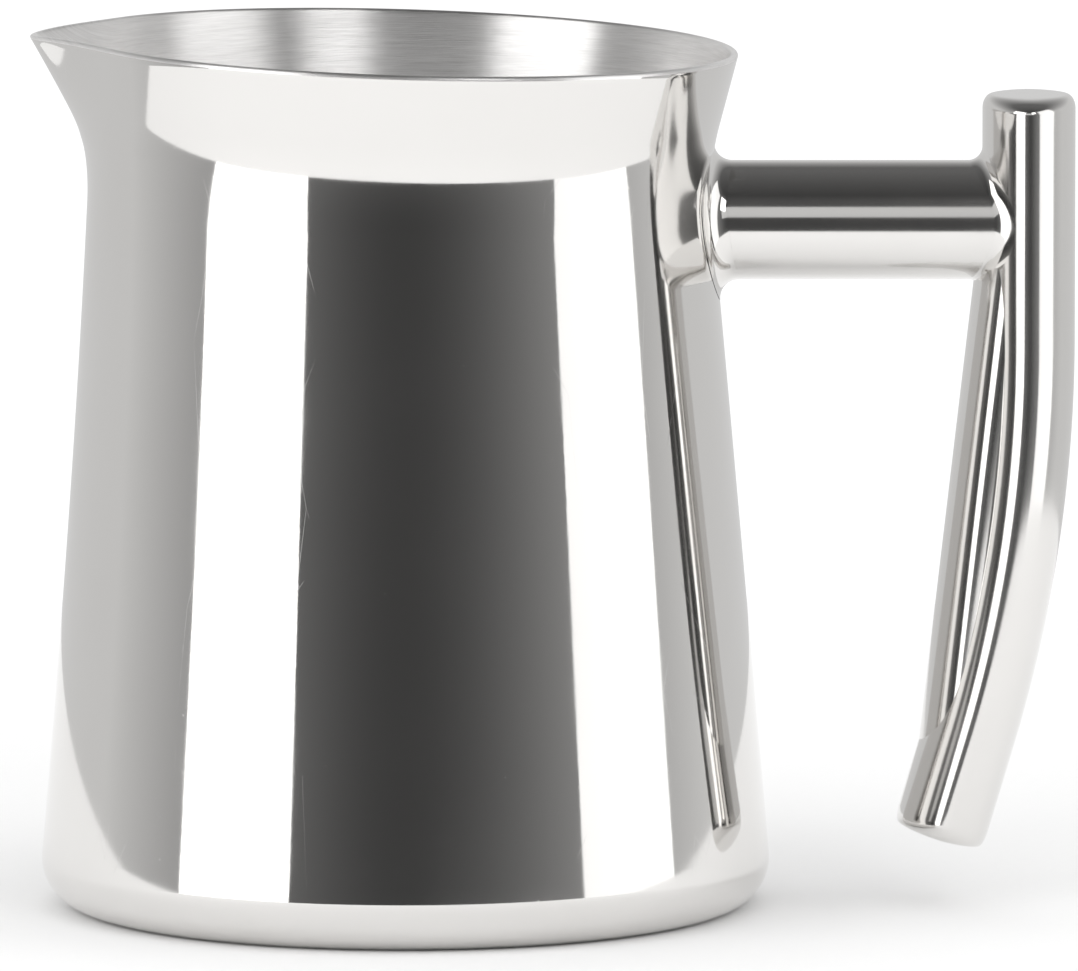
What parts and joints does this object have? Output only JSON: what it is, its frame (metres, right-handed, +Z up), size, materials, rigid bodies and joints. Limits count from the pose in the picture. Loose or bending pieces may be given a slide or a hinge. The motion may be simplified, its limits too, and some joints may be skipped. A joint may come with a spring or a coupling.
{
  "type": "milk frothing pitcher",
  "caption": "Bell-shaped polished steel pitcher with a formed pouring lip, a brushed inside and a hanging handle of a round arm and a curved oval grip.",
  "frame": {"origin": "on the cup's axis, at the flat underside that the pitcher stands on", "axes": "+Z up along the cup's axis, +X towards the handle, -X towards the pouring lip, +Y to the left of someone facing along +X"},
  "size_m": [0.1314, 0.0918, 0.1105],
  "materials": {
    "polished_steel": "polished",
    "weld_steel": "polished"
  },
  "bodies": {
    "root": {"body_shell": "polished_steel", "handle_arm": "polished_steel", "arm_to_body_weld": "weld_steel", "handle_grip": "polished_steel", "arm_to_grip_weld": "weld_steel", "grip_top_cap": "polished_steel", "grip_bottom_cap": "polished_steel"}
  },
  "joints": []
}
